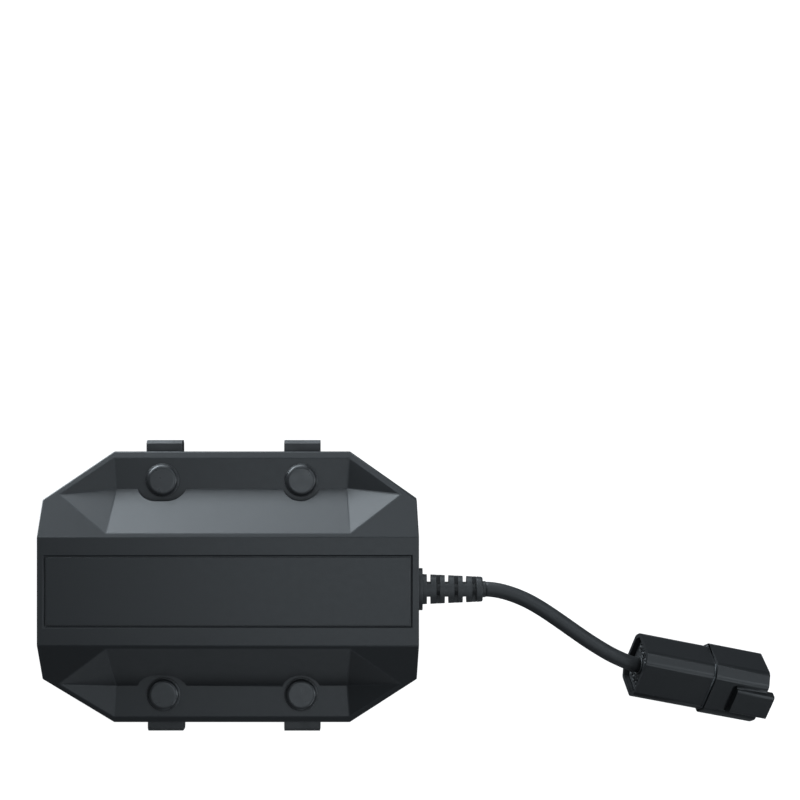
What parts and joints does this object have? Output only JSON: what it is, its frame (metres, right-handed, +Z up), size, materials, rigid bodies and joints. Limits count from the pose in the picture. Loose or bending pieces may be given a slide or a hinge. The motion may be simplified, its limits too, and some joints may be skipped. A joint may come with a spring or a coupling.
{
  "type": "brake controller unit",
  "caption": "Flat octagonal brake controller housing with a sloped, pocketed lid, clip-nut fixings, a slotted strain relief and a short cable ending in a sealed multi-pin connector.",
  "frame": {"origin": "centre of the housing's underside, on the surface it lies on, measured without the cable and connector", "axes": "+X along the housing towards the cable exit, +Y across it towards the rear fixings, +Z up out of the lid"},
  "size_m": [0.2336, 0.0944, 0.0307],
  "materials": {
    "moulding": "fine moulded texture, satin",
    "rubber": "matte",
    "coated_steel": "black coating, satin",
    "shell_plastic": "satin, fine moulded texture",
    "zinc_steel": "zinc plated",
    "copper": "bare",
    "board_green": "solder mask",
    "chip_black": "moulded",
    "aluminium": "satin",
    "insulation": "smooth",
    "wedge_orange": "smooth moulded"
  },
  "bodies": {
    "unit": {"top_cover": "moulding", "label_plate": "moulding", "base_tray": "moulding", "perimeter_seal": "rubber", "clip_nut_rear_left": "coated_steel", "clip_nut_front_left": "coated_steel", "clip_nut_rear_right": "coated_steel", "clip_nut_front_right": "coated_steel", "barrel_cap_rear_left": "rubber", "barrel_cap_front_left": "rubber", "barrel_cap_rear_right": "rubber", "barrel_cap_front_right": "rubber", "cover_screw_left_front": "zinc_steel", "cover_screw_left_rear": "zinc_steel", "cover_screw_right_front": "zinc_steel", "cover_screw_right_rear": "zinc_steel", "cover_screw_middle_front": "zinc_steel", "cover_screw_middle_rear": "zinc_steel", "circuit_board": "board_green", "board_screw_left_front": "zinc_steel", "board_screw_left_rear": "zinc_steel", "board_screw_right_front": "zinc_steel", "board_screw_right_rear": "zinc_steel", "power_transistor_1": "chip_black", "power_transistor_2": "chip_black", "power_transistor_3": "chip_black", "power_transistor_4": "chip_black", "heat_spreader": "aluminium", "capacitor_1": "aluminium", "capacitor_2": "aluminium", "capacitor_3": "aluminium", "choke": "copper", "processor": "chip_black", "inertia_sensor": "chip_black", "fuse": "insulation", "current_shunt": "copper", "wire_header": "chip_black", "lead_1": "insulation", "lead_2": "insulation", "lead_3": "insulation", "lead_4": "insulation", "lead_5": "insulation", "lead_6": "insulation", "strain_relief": "rubber", "gland_nut": "zinc_steel", "cable": "rubber", "connector_shell": "shell_plastic", "rear_seal": "rubber", "pin_1": "copper", "pin_2": "copper", "pin_3": "copper", "pin_4": "copper", "pin_5": "copper", "pin_6": "copper"},
    "wedge": {"wedge_lock": "wedge_orange"}
  },
  "joints": [
    {"name": "wedge_slide", "type": "slide", "parent": "unit", "child": "wedge", "axis": [0.9492, -0.2052, -0.2385], "range_m": [0, 0.004]}
  ]
}
